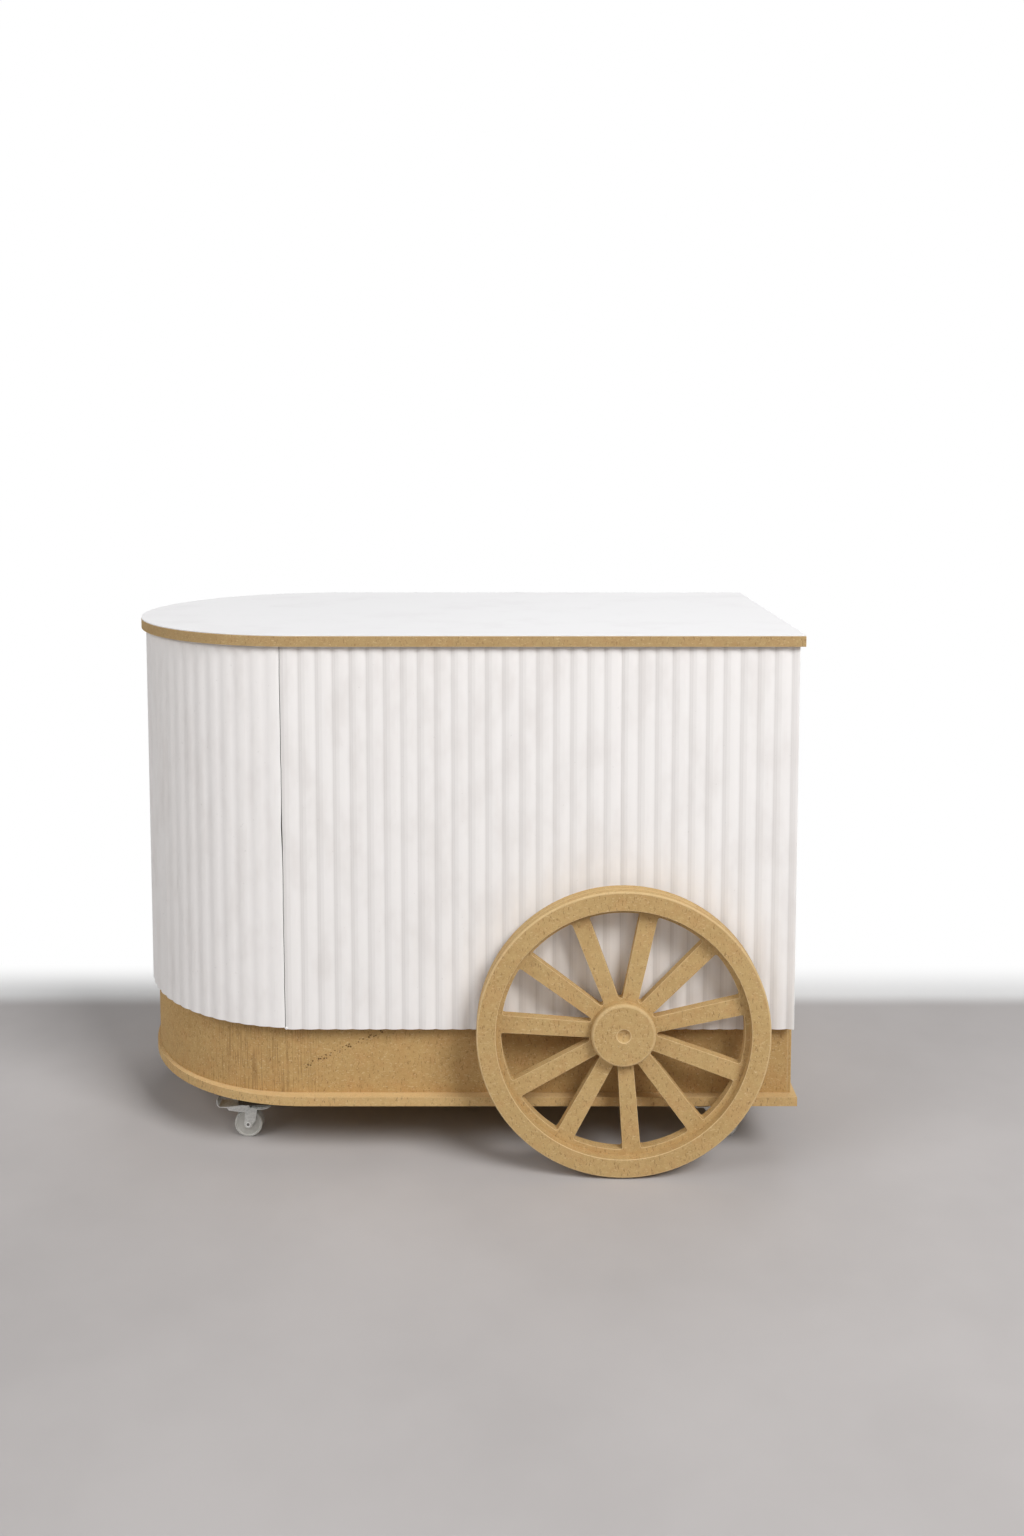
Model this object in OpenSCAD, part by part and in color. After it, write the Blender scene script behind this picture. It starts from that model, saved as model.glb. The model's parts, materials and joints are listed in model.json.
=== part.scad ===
// Merchandising cart with one round end, a fluted skin, a show wheel and four swivel castors.
// The floor is z = 0. The origin is under the middle of the whole cart.
// x runs along the cart from its round end to its square end, and y from its front to its back.

/* [Top] */
// Length of the top, from the tip of the round end to the square end
top_l = 1200; // [1000:10:1500]
// Depth of the top, which is also the width of its half-round end
top_d = 680; // [600:10:760]
// Height of the finished top above the floor
top_h = 930; // [850:5:1050]
// Thickness of the white sheet on the top
top_sheet_t = 2; // [1:0.5:3]
// Thickness of every carcass board
board_t = 18; // [16:1:22]

/* [Fluted skin] */
// Distance of the flutes' crests inside the edge of the top
skin_inset = 8; // [5:1:12]
// Thickness of the skin behind the grooves between the flutes
skin_back_t = 9.5; // [6:0.5:10]
// Height of a crest above the grooves beside it
flute_rise = 2.5; // [2:0.5:5]
// Width of one flute
flute_pitch = 28.9; // [20:0.1:40]
// Length of flat sheet that reaches past the start of the curve
flat_lap = 28; // [20:1:40]
// Open joint between the curved sheet and the flat sheet
sheet_gap = 1; // [0.5:0.5:3]

/* [Plinth] */
// Height of the plain band between the base board and the fluted skin
band_h = 125; // [110:1:180]
// Thickness of the band
band_t = 6; // [4:1:8]
// Distance of the band inside the edge of the top
band_inset = 29; // [26:1:40]
// Distance of the band inside the top at the tip of the round end
band_tip_inset = 19; // [18:1:40]
// Thickness of the base board
base_t = 16; // [15:1:22]
// Distance of the base board inside the edge of the top, at its sides
base_inset = 11; // [8:1:16]
// Distance of the base board inside the top at the tip of the round end
base_tip_inset = 14; // [8:1:16]
// Distance of the base board inside the square end of the top
base_end_inset = 0; // [0:1:6]

/* [Shelves] */
// Clear height from the carcass floor to the underside of the shelves
shelf_rise = 300; // [200:10:360]
// Distance of the shelves' back edge inside the carcass
shelf_setback = 20; // [0:5:80]

/* [Show wheel] */
// Diameter of the show wheel
wheel_d = 500; // [460:5:520]
// Distance from the middle of the show wheel to the square end of the top
wheel_from_end = 307; // [280:1:420]
// Least gap between the show wheel and the floor
wheel_floor_gap = 3; // [2:1:20]
// Least height of the axle above the lower edge of the fluted skin
axle_rise = 10; // [8:1:40]
// Thickness of each of the two layers of the show wheel
wheel_board_t = 18; // [15:1:22]
// Width of the rim ring
rim_w = 33; // [25:1:45]
// Width of the ledge that the spoke board shows inside the rim ring
rim_ledge = 9; // [4:1:14]
// Number of spokes
spoke_count = 11; // [9:1:12]
// Turn of the first spoke from upright
spoke_turn = 12; // [0:1:32]
// Width of a spoke at the hub
spoke_hub_w = 27; // [20:1:28]
// Width of a spoke at the rim
spoke_rim_w = 31; // [24:1:36]
// Radius of the rounded corners between the spokes
window_corner_r = 4; // [3:0.5:5]
// Diameter of the hub disc
hub_d = 110; // [90:1:116]
// Diameter of the dimple in the hub disc
dimple_d = 24; // [10:1:26]
// Depth of the dimple
dimple_deep = 3.5; // [1:0.5:3.5]

/* [Wheel axle] */
// Diameter of the axle bolt
axle_d = 12; // [10:1:14]
// Width across the flats of the bolt's head and nut
hex_af = 19; // [17:1:21]
// Height of the bolt's head
hex_head_h = 7.5; // [6:0.5:8]
// Height of the nut
nut_h = 10; // [8:0.5:12]
// Diameter of the washers
washer_d = 24; // [23:1:28]
// Thickness of the washers
washer_t = 2.5; // [2:0.5:3]
// Outer diameter of the bush in the spoke board
bush_d = 20; // [18:1:24]
// Thickness of the pad between the skin and the rear washer
pad_t = 16; // [12:1:24]
// Diameter of the pad
pad_d = 100; // [80:1:108]
// Width of the block that holds the axle bolt inside the carcass
axle_block_w = 100; // [80:1:120]
// Depth of the axle block behind the plinth band
axle_block_deep = 60; // [40:1:80]
// Reach of the axle block past the axle and past the carcass floor, above and below
axle_block_reach = 32; // [26:1:50]
// Length of bolt that shows past the nut
bolt_tail = 6; // [3:1:12]
// Distance from the axle block to the middle upright
block_to_upright = 75; // [20:1:100]

/* [Castors] */
// Overall height of a castor, from the floor to the top of its plate
castor_h = 72; // [70:1:76]
// Thickness of the packing block over each castor
block_t = 30; // [24:1:50]
// Width of a packing block
block_w = 70; // [66:1:74]
// Distance from the tip of the round end to the swivel axis of the left castors
castor_left = 249; // [200:1:300]
// Distance from the square end to the swivel axis of the right castors
castor_right = 90; // [60:1:140]
// Distance from the front and back edges of the top to the swivel axes
castor_side = 110; // [100:1:150]
// Diameter of a castor's wheel
roller_d = 50; // [48:0.5:51]
// Width of a castor's wheel
roller_w = 20; // [16:1:22]
// Distance from the swivel axis to the castor's wheel axle
trail = 22; // [20:0.5:24]
// Width of the square castor plate
plate_w = 60; // [56:1:64]
// Thickness of the castor plate
plate_t = 2.5; // [2:0.5:3]
// Thickness of the fork's steel
fork_t = 2; // [1.5:0.5:2.5]
// Diameter of the castor's wheel axle
roller_axle_d = 6; // [5:0.5:7]
// Diameter of the rivet that the fork swivels on
kingpin_d = 8; // [7:0.5:9]
// Distance between the castor plate's screws
screw_spacing = 46; // [44:1:48]
// Diameter of the castor screws
screw_d = 5; // [4:0.5:5.5]
// Angle that the brake pedal swings down from rest
brake_swing = 11; // [6:1:11]

/* [Clearances] */
// Radial clearance of a shaft that turns in a hole
running_gap = 0.05; // [0.02:0.01:0.1]
// Gap between faces that pass one another
pass_gap = 0.4; // [0.3:0.1:0.6]
// End float of the show wheel on each side
wheel_float = 0.5; // [0.3:0.1:1]
// Radial gap round a bolt in a plain hole
bolt_gap = 0.5; // [0.3:0.1:1]
// Gap under a flat face that rests on the crests of the flutes
crest_gap = 0.1; // [0:0.1:0.3]
// Gap over the bolt's head inside the hub disc
head_gap = 1.5; // [1:0.1:2]
// Gap between a castor's wheel and each leg of its fork
leg_gap = 1; // [0.5:0.1:1.5]

/* [Hidden] */
$fn = 96;

// Colours of the finishes
raw_board = [0.76, 0.62, 0.42];
white_paint = [0.93, 0.93, 0.92];
white_sheet = [0.96, 0.96, 0.96];
zinc = [0.72, 0.73, 0.74];
nylon = [0.80, 0.80, 0.78];

// Show wheel in depth, measured towards the viewer from the crests of the flutes
wheel_back = pad_t + washer_t + wheel_float;
wheel_front = wheel_back + 2 * wheel_board_t;

// Plan of the cart
stand_out = wheel_front - skin_inset;
front_y = (stand_out - top_d) / 2;
back_y = front_y + top_d;
mid_y = front_y + top_d / 2;
left_x = -top_l / 2;
right_x = top_l / 2;
arc_x = left_x + top_d / 2;
skin_t = skin_back_t + flute_rise;
carcass_inset = skin_inset + skin_t;
frame_inset = band_inset + band_t;
skin_end_x = right_x - skin_inset;
carcass_end_x = right_x - carcass_inset;
band_end_x = skin_end_x - band_t;
band_arc_x = arc_x + band_tip_inset - band_inset;
base_arc_x = arc_x + base_tip_inset - base_inset;
crest_y = front_y + skin_inset;
skin_back_y = front_y + carcass_inset;
frame_y = front_y + frame_inset;

// Heights
base_z = castor_h + block_t;
base_top_z = base_z + base_t;
floor_z = base_top_z + band_h;
floor_top_z = floor_z + board_t;
top_board_z = top_h - top_sheet_t - board_t;
carcass_top_z = top_board_z - board_t;
shelf_z = floor_top_z + shelf_rise;

// Flutes
reed_r = (pow(flute_pitch / 2, 2) + pow(flute_rise, 2)) / (2 * flute_rise);
crest_r = top_d / 2 - skin_inset;
arc_reeds = round(PI * crest_r / flute_pitch);

// Show wheel
wheel_x = right_x - wheel_from_end;
wheel_z = max(wheel_d / 2 + wheel_floor_gap, floor_z + axle_rise);
wheel_back_y = crest_y - wheel_back;
wheel_mid_y = wheel_back_y - wheel_board_t;
wheel_front_y = crest_y - wheel_front;
ring_inner_r = wheel_d / 2 - rim_w;
window_r = ring_inner_r - rim_ledge;
corner_cross = 0.01;
head_pocket_deep = wheel_float + washer_t + hex_head_h + head_gap;
head_pocket_wall = 4;
head_pocket_d = washer_d + 2 * head_pocket_wall;
axle_block_z = floor_z - axle_block_reach;
axle_block_top_z = max(wheel_z, floor_top_z) + axle_block_reach;
axle_block_back_y = frame_y + axle_block_deep;
axle_block_x = wheel_x - axle_block_w / 2;
bolt_end_y = axle_block_back_y + washer_t + nut_h + bolt_tail;
nut_room = 8;
nut_room_w = washer_d + 2 * nut_room;

// Uprights
upright_left_x = arc_x;
upright_middle_x = axle_block_x - block_to_upright - board_t;
upright_right_x = carcass_end_x - board_t;

// Base screws, in a row along each plinth rail
base_screw_d = 4;
base_screw_head_d = 8;
base_screw_l = 40;
base_screws_per_rail = 4;
base_screw_margin = 60;
screw_rows_y = [frame_y + board_t / 2, 2 * mid_y - frame_y - board_t / 2];
screw_step = (band_end_x - band_arc_x - 2 * base_screw_margin) / (base_screws_per_rail - 1);

// Castors, in the order front left, front right, rear left, rear right
castor_at = [[left_x + castor_left, front_y + castor_side],
             [right_x - castor_right, front_y + castor_side],
             [left_x + castor_left, back_y - castor_side],
             [right_x - castor_right, back_y - castor_side]];
plate_z = castor_h - plate_t;
roller_z = roller_d / 2;
fork_half_w = roller_w / 2 + leg_gap;
bridge_over_roller = 6;
bridge_z = roller_d + bridge_over_roller;
bridge_r = 20;
bridge_top_z = bridge_z + fork_t;
cup_r = 21;
race_h = 3;
cup_h = plate_z - bridge_top_z - race_h;
neck_r = 18;
leg_back_x = 14;
leg_top_x = leg_back_x + 2;
leg_top_h = 6;
leg_end_r = 7;
ear_r = 5;
pivot_z = bridge_z - 1;
pivot_d = 4;
kingpin_head_d = 14;
kingpin_head_h = 3;
rivet_lip = 1.4;
rivet_head_d = roller_axle_d + 2 * rivet_lip;
rivet_head_h = 1.2;
pedal_t = 1.5;
pedal_half_w = fork_half_w + fork_t + pass_gap;
pedal_reach = 38;
pedal_web_x = 12;
pedal_web_z = pivot_z + 2;
shoe_l = 6;
shoe_side_gap = 2;
// Underside of the shoe, which stops just clear of the wheel when the pedal is down
pivot_drop = pivot_z - roller_z;
shoe_z = pivot_z - pivot_drop * cos(brake_swing)
  + sqrt(pow(roller_z + pass_gap, 2) - pow(pedal_web_x - pivot_drop * sin(brake_swing), 2));
cheek_nose = 4;
cheek_drop = 6;
cheek_rise = 8;
lip_r = 8;
lip_flat = 10;
lip_rise = 7;
pin_end = 0.5;
castor_screw_l = 22;
castor_screw_head_h = 2.5;
castor_screw_head_d = screw_d + 4.5;

// Plan outline of the top drawn in by inset, with its round end struck from from_x and its
// square end drawn in by end_inset
module outline(from_x, inset, end_inset) {
  translate([from_x, mid_y]) circle(top_d / 2 - inset);
  translate([from_x, front_y + inset])
    square([right_x - end_inset - from_x, top_d - 2 * inset]);
}

// Board of the top's own outline, lying flat at height z
module outline_board(z, inset, end_inset, thick) {
  translate([0, 0, z]) linear_extrude(thick) outline(arc_x, inset, end_inset);
}

// Plain board between two corners
module slab(low, high) {
  translate(low) cube(high - low);
}

// Shaft or hole along y, from y = from to y = to
module along_y(x, z, d, from, to) {
  translate([x, from, z]) rotate([-90, 0, 0]) cylinder(d = d, h = to - from);
}

module hex_along_y(x, z, from, to) {
  translate([x, from, z]) rotate([-90, 0, 0])
    cylinder(d = hex_af / cos(30), h = to - from, $fn = 6);
}

// Row of flutes in plan, with its back on y = 0 and its crests at y = -skin_t
module flat_reeds(length) {
  intersection() {
    for (i = [0 : ceil(length / flute_pitch) - 1])
      translate([(i + 0.5) * flute_pitch, reed_r - skin_t]) circle(reed_r);
    translate([0, -2 * skin_t]) square([length, 2 * skin_t]);
  }
}

// Flutes round the left half of a circle in plan, centred on the origin
module round_reeds() {
  difference() {
    union() {
      circle(crest_r - flute_rise);
      for (i = [0 : arc_reeds - 1])
        rotate(90 + (i + 0.5) * 180 / arc_reeds) translate([crest_r - reed_r, 0]) circle(reed_r);
    }
    circle(crest_r - skin_t);
    translate([0, -top_d]) square([top_d, 2 * top_d]);
    translate([-flat_lap - sheet_gap, -top_d]) square([top_d, top_d]);
  }
}

// Half disc of radius r, left of x
module half_disc(x, r) {
  difference() {
    translate([x, mid_y]) circle(r);
    translate([x, mid_y - r]) square([r, 2 * r]);
  }
}

// Hole for the axle bolt through whatever lies between y = from and y = to
module bolt_hole(from, to) {
  along_y(wheel_x, wheel_z, axle_d + 2 * bolt_gap, from, to);
}

module top_sheet() {
  color(white_sheet) outline_board(top_h - top_sheet_t, 0, 0, top_sheet_t);
}

module top_board() {
  color(raw_board) outline_board(top_board_z, 0, 0, board_t);
}

module carcass_top() {
  color(raw_board) outline_board(carcass_top_z, carcass_inset, carcass_inset, board_t);
}

// Notch that lets the axle block through a board
module axle_block_notch() {
  slab([axle_block_x, front_y, axle_block_z],
       [axle_block_x + axle_block_w, axle_block_back_y, axle_block_top_z]);
}

// Floor of the carcass, cut out for the axle block and for a spanner round its nut
module carcass_floor() {
  color(raw_board) difference() {
    outline_board(floor_z, carcass_inset, carcass_inset, board_t);
    axle_block_notch();
    slab([wheel_x - nut_room_w / 2, frame_y, floor_z - 1],
         [wheel_x + nut_room_w / 2, bolt_end_y + nut_room, floor_top_z + 1]);
  }
}

module base_board() {
  color(raw_board) difference() {
    translate([0, 0, base_z]) linear_extrude(base_t) outline(base_arc_x, base_inset, base_end_inset);
    base_screws();
  }
}

module upright(x) {
  color(raw_board)
    slab([x, skin_back_y, floor_top_z], [x + board_t, back_y - carcass_inset, carcass_top_z]);
}

module upright_left() {
  upright(upright_left_x);
}

module upright_middle() {
  upright(upright_middle_x);
}

module upright_right() {
  upright(upright_right_x);
}

module shelf(from, to) {
  color(raw_board)
    slab([from, skin_back_y, shelf_z],
         [to, back_y - carcass_inset - shelf_setback, shelf_z + board_t]);
}

module shelf_left() {
  shelf(upright_left_x + board_t, upright_middle_x);
}

module shelf_right() {
  shelf(upright_middle_x + board_t, upright_right_x);
}

// Former that keeps the curved sheet round at the height of the shelves
module round_former() {
  color(raw_board) translate([0, 0, shelf_z]) linear_extrude(board_t)
    half_disc(arc_x, top_d / 2 - carcass_inset);
}

module fluted_sheet_curved() {
  color(white_paint) translate([arc_x, mid_y, floor_z]) linear_extrude(top_board_z - floor_z) {
    round_reeds();
    // Flat tail over the back edge of the left upright
    translate([0, crest_r - skin_t]) square([board_t, skin_t]);
  }
}

module fluted_sheet_front() {
  color(white_paint) difference() {
    translate([arc_x - flat_lap, skin_back_y, floor_z])
      linear_extrude(top_board_z - floor_z) flat_reeds(skin_end_x - arc_x + flat_lap);
    bolt_hole(crest_y - 1, skin_back_y + 1);
  }
}

module fluted_sheet_end() {
  color(white_paint) translate([carcass_end_x, skin_back_y, floor_z]) rotate([0, 0, 90])
    linear_extrude(top_board_z - floor_z) flat_reeds(top_d - carcass_inset - skin_inset);
}

module plinth_band_curved() {
  color(raw_board) translate([0, 0, base_top_z]) linear_extrude(band_h) difference() {
    half_disc(band_arc_x, top_d / 2 - band_inset);
    translate([band_arc_x, mid_y]) circle(top_d / 2 - frame_inset);
  }
}

module flat_band(y) {
  color(raw_board) slab([band_arc_x, y, base_top_z], [band_end_x, y + band_t, floor_z]);
}

module plinth_band_front() {
  flat_band(front_y + band_inset);
}

module plinth_band_rear() {
  flat_band(back_y - frame_inset);
}

module plinth_band_end() {
  color(raw_board) slab([band_end_x, front_y + band_inset, base_top_z],
                        [skin_end_x, back_y - band_inset, floor_z]);
}

module plinth_former(z) {
  color(raw_board) translate([0, 0, z]) linear_extrude(board_t) half_disc(band_arc_x, top_d / 2 - frame_inset);
}

module plinth_former_lower() {
  plinth_former(base_top_z);
}

module plinth_former_upper() {
  plinth_former(floor_z - board_t);
}

module plinth_rail(y) {
  color(raw_board) difference() {
    slab([band_arc_x, y, base_top_z], [band_end_x, y + board_t, floor_z]);
    axle_block_notch();
    base_screws();
  }
}

module plinth_rail_front() {
  plinth_rail(frame_y);
}

module plinth_rail_rear() {
  plinth_rail(back_y - frame_inset - board_t);
}

module plinth_rib(x) {
  color(raw_board) slab([x, frame_y + board_t, base_top_z],
                        [x + board_t, back_y - frame_inset - board_t, floor_z]);
}

module plinth_rib_left() {
  plinth_rib(band_arc_x);
}

module plinth_rib_right() {
  plinth_rib(band_end_x - board_t);
}

// Countersunk screws from under the base board into the plinth rails
module base_screws() {
  color(zinc)
    for (y = screw_rows_y, i = [0 : base_screws_per_rail - 1])
      translate([band_arc_x + base_screw_margin + i * screw_step, y, base_z]) {
        cylinder(d1 = base_screw_head_d, d2 = base_screw_d, h = (base_screw_head_d - base_screw_d) / 2);
        cylinder(d = base_screw_d, h = base_screw_l);
      }
}

// Block behind the skin, rebated over the plinth band, that the axle bolt is clamped to
module axle_block() {
  color(raw_board) difference() {
    union() {
      slab([axle_block_x, frame_y, axle_block_z],
           [axle_block_x + axle_block_w, axle_block_back_y, axle_block_top_z]);
      slab([axle_block_x, skin_back_y, floor_z],
           [axle_block_x + axle_block_w, axle_block_back_y, axle_block_top_z]);
    }
    bolt_hole(skin_back_y - 1, axle_block_back_y + 1);
  }
}

// Round pad between the skin and the wheel, thicker below the skin where it meets the band
module axle_pad() {
  color(raw_board) difference() {
    union() {
      along_y(wheel_x, wheel_z, pad_d, crest_y - pad_t, crest_y - crest_gap);
      intersection() {
        along_y(wheel_x, wheel_z, pad_d, crest_y - pad_t, front_y + band_inset);
        slab([wheel_x - pad_d, front_y - top_d, 0], [wheel_x + pad_d, back_y, floor_z - crest_gap]);
      }
    }
    bolt_hole(crest_y - pad_t - 1, front_y + band_inset + 1);
  }
}

module axle_bolt() {
  color(zinc) {
    hex_along_y(wheel_x, wheel_z, wheel_mid_y - wheel_float - washer_t - hex_head_h,
                wheel_mid_y - wheel_float - washer_t);
    along_y(wheel_x, wheel_z, axle_d, wheel_mid_y - wheel_float - washer_t, bolt_end_y);
  }
}

module axle_nut() {
  color(zinc) difference() {
    hex_along_y(wheel_x, wheel_z, axle_block_back_y + washer_t, axle_block_back_y + washer_t + nut_h);
    along_y(wheel_x, wheel_z, axle_d, axle_block_back_y, bolt_end_y);
  }
}

// Washers under the head, behind the wheel and under the nut
module axle_washers() {
  color(zinc)
    for (y = [wheel_mid_y - wheel_float - washer_t, crest_y - pad_t - washer_t, axle_block_back_y])
      difference() {
        along_y(wheel_x, wheel_z, washer_d, y, y + washer_t);
        along_y(wheel_x, wheel_z, axle_d, y - 1, y + washer_t + 1);
      }
}

// Window between two spokes, in the plane of the wheel, with the window's middle along +x.
// The spokes' edges are straight and every corner is rounded. The corner circles stand out
// by corner_cross, so that they cross the lines and arcs they blend into.
module spoke_window() {
  half_step = 180 / spoke_count;
  slope = (spoke_rim_w - spoke_hub_w) / 2 / (window_r - hub_d / 2);
  edge_0 = spoke_hub_w / 2 - slope * hub_d / 2;
  edge_turn = half_step - atan(slope);
  // Middle of the inner corner, one corner radius from both edges
  r = window_corner_r;
  inner = (r / cos(atan(slope)) + edge_0) / (sin(half_step) - slope * cos(half_step));
  // Middle of an outer corner, one corner radius from the edge and from the outer arc
  side = edge_0 * cos(atan(slope)) + r;
  along = sqrt(pow(window_r - r, 2) - side * side);
  corner = [along * cos(edge_turn) + side * sin(edge_turn), along * sin(edge_turn) - side * cos(edge_turn)];
  normal = [-sin(edge_turn), cos(edge_turn)] * r;
  apex = [inner, 0];
  polygon([apex + normal, corner + normal, corner, [corner.x, -corner.y],
           [corner.x + normal.x, -corner.y - normal.y], [apex.x + normal.x, -normal.y]]);
  for (p = [apex, corner, [corner.x, -corner.y]]) translate(p) circle(r + corner_cross);
  intersection() {
    circle(window_r);
    polygon([apex, corner, corner * 2, [corner.x, -corner.y] * 2, [corner.x, -corner.y]]);
  }
}

// Disc of the show wheel, or a round cut in it, from y = from to y = to
module wheel_disc(d, from, to) {
  along_y(wheel_x, wheel_z, d, from, to);
}

module wheel_spoke_board() {
  color(raw_board) difference() {
    wheel_disc(wheel_d, wheel_mid_y, wheel_back_y);
    wheel_disc(bush_d, wheel_mid_y - 1, wheel_back_y + 1);
    translate([wheel_x, wheel_back_y + 1, wheel_z]) rotate([90, 0, 0])
      linear_extrude(wheel_board_t + 2)
        for (i = [0 : spoke_count - 1])
          rotate(90 - spoke_turn + (i + 0.5) * 360 / spoke_count) spoke_window();
  }
}

module wheel_rim_ring() {
  color(raw_board) difference() {
    wheel_disc(wheel_d, wheel_front_y, wheel_mid_y);
    wheel_disc(2 * ring_inner_r, wheel_front_y - 1, wheel_mid_y + 1);
  }
}

// Hub disc with a cone-shaped dimple in front and a pocket over the bolt's head behind
module wheel_hub_disc() {
  floor_r = dimple_d / 4;
  slope = floor_r / dimple_deep;
  color(raw_board) difference() {
    wheel_disc(hub_d, wheel_front_y, wheel_mid_y);
    translate([wheel_x, wheel_front_y - 1, wheel_z]) rotate([-90, 0, 0])
      cylinder(r1 = dimple_d / 2 + slope, r2 = floor_r, h = dimple_deep + 1);
    wheel_disc(head_pocket_d, wheel_mid_y - head_pocket_deep, wheel_mid_y + 1);
  }
}

module wheel_bush() {
  color(nylon) difference() {
    wheel_disc(bush_d, wheel_mid_y, wheel_back_y);
    wheel_disc(axle_d + 2 * running_gap, wheel_mid_y - 1, wheel_back_y + 1);
  }
}

// Moves a castor's piece, drawn round its swivel axis, to castor i
module at_castor(i) {
  translate([castor_at[i].x, castor_at[i].y, 0]) children();
}

// Places the four screws of a castor plate, drawn round its swivel axis
module at_screws() {
  for (sx = [-1, 1], sy = [-1, 1])
    translate([sx * screw_spacing / 2, sy * screw_spacing / 2, 0]) children();
}

module castor_screw() {
  translate([0, 0, plate_z - castor_screw_head_h]) cylinder(d = castor_screw_head_d, h = castor_screw_head_h);
  translate([0, 0, plate_z]) cylinder(d = screw_d, h = castor_screw_l);
}

module castor_screws() {
  color(zinc) for (i = [0 : 3]) at_castor(i) at_screws() castor_screw();
}

module castor_kingpins() {
  color(zinc) for (i = [0 : 3]) at_castor(i) {
    translate([0, 0, bridge_z - pass_gap - kingpin_head_h]) cylinder(d = kingpin_head_d, h = kingpin_head_h);
    translate([0, 0, bridge_z - pass_gap]) cylinder(d = kingpin_d, h = castor_h - bridge_z + pass_gap);
  }
}

module castor_block(i) {
  color(raw_board) at_castor(i) difference() {
    translate([-block_w / 2, -block_w / 2, castor_h]) cube([block_w, block_w, block_t]);
    at_screws() castor_screw();
  }
}

// Square plate with the cup that the ball race runs in
module castor_plate(i) {
  color(zinc) at_castor(i) difference() {
    union() {
      translate([-plate_w / 2, -plate_w / 2, plate_z]) cube([plate_w, plate_w, plate_t]);
      translate([0, 0, plate_z - cup_h]) cylinder(r = cup_r, h = cup_h);
    }
    cylinder(d = kingpin_d, h = castor_h + 1);
    at_screws() cylinder(d = screw_d, h = castor_h + 1);
  }
}

// Side view of a fork leg, with the castor's wheel axle at x = 0 and z as y
module leg_profile() {
  translate([0, roller_z]) circle(leg_end_r);
  polygon([[-leg_end_r, roller_z], [-ear_r, bridge_z], [leg_top_x, bridge_z],
           [leg_top_x, bridge_z - leg_top_h], [leg_back_x, roller_z + leg_end_r * 2],
           [leg_back_x, roller_z + leg_end_r], [leg_end_r, roller_z]]);
  translate([0, pivot_z]) circle(ear_r);
}

// Pressed fork with its bridge, neck, two legs and the brake's pivot pin
module castor_fork(i, braked) {
  color(zinc) at_castor(i) difference() {
    union() {
      translate([0, 0, bridge_z]) cylinder(r = bridge_r, h = fork_t);
      translate([0, 0, bridge_z]) cylinder(r = neck_r, h = plate_z - cup_h - pass_gap - bridge_z);
      for (side = [-fork_half_w, fork_half_w + fork_t])
        translate([-trail, side, 0]) rotate([90, 0, 0]) linear_extrude(fork_t) leg_profile();
      if (braked)
        along_y(-trail, pivot_z, pivot_d, -pedal_half_w - pedal_t - pin_end, pedal_half_w + pedal_t + pin_end);
    }
    translate([0, 0, bridge_z - 1]) cylinder(d = kingpin_d + 2 * running_gap, h = castor_h);
    along_y(-trail, roller_z, roller_axle_d, -roller_w, roller_w);
  }
}

// Rivet that the castor's wheel turns on, with a head outside each leg
module castor_axle(i) {
  half = fork_half_w + fork_t;
  color(zinc) at_castor(i) {
    along_y(-trail, roller_z, roller_axle_d, -half, half);
    for (y = [-half - rivet_head_h, half])
      along_y(-trail, roller_z, rivet_head_d, y, y + rivet_head_h);
  }
}

// Castor's wheel, with a round-shouldered tread and a shallow recess in each face
module castor_wheel(i) {
  w = roller_w / 2;
  shoulder = 1.5;
  recess = 1;
  rim = 4;
  hub = roller_axle_d / 2 + 5;
  color(nylon) at_castor(i) translate([-trail, 0, roller_z]) rotate([90, 0, 0])
    rotate_extrude() difference() {
      polygon([[roller_axle_d / 2 + running_gap, -w], [roller_z - shoulder, -w],
               [roller_z, shoulder - w], [roller_z, w - shoulder], [roller_z - shoulder, w],
               [roller_axle_d / 2 + running_gap, w]]);
      for (y = [-w, w - recess])
        translate([hub, y]) square([roller_z - rim - hub, recess]);
    }
}

// Side view of a cheek of the brake pedal, with the castor's wheel axle at x = 0 and z as y
module cheek_profile() {
  polygon([[-pedal_reach, pedal_web_z + pedal_t], [-pedal_reach, pedal_web_z],
           [cheek_nose - pedal_reach, pivot_z - cheek_drop / 2], [-pedal_web_x, pivot_z - cheek_drop],
           [-pivot_d / 2, pivot_z - cheek_drop], [cheek_nose, pivot_z - cheek_drop / 2],
           [cheek_nose, pivot_z + cheek_nose], [0, pivot_z + cheek_rise]]);
}

// Brake pedal: two cheeks outside the fork's legs, a web with the shoe, and a lip turned up
module brake_pedal(i) {
  color(zinc) at_castor(i) difference() {
    union() {
      for (side = [-pedal_half_w, pedal_half_w + pedal_t])
        translate([-trail, side, 0]) rotate([90, 0, 0]) linear_extrude(pedal_t) cheek_profile();
      slab([-trail - pedal_reach, -pedal_half_w, pedal_web_z],
           [-trail - pedal_web_x, pedal_half_w, pedal_web_z + pedal_t]);
      slab([-trail - pedal_web_x - shoe_l, shoe_side_gap - roller_w / 2, shoe_z],
           [-trail - pedal_web_x, roller_w / 2 - shoe_side_gap, pedal_web_z]);
      translate([-trail - pedal_reach, pedal_half_w + pedal_t, 0]) rotate([90, 0, 0])
        linear_extrude(2 * (pedal_half_w + pedal_t)) {
          translate([-lip_flat, pedal_web_z]) square([lip_flat, pedal_t]);
          translate([-lip_flat - lip_r, pedal_web_z + lip_r]) square([pedal_t, lip_rise]);
          translate([-lip_flat, pedal_web_z + lip_r]) difference() {
            circle(lip_r);
            circle(lip_r - pedal_t);
            translate([-lip_r, 0]) square(2 * lip_r);
            translate([0, -lip_r]) square(2 * lip_r);
          }
        }
    }
    along_y(-trail, pivot_z, pivot_d + 2 * running_gap, -roller_d, roller_d);
  }
}

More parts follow.
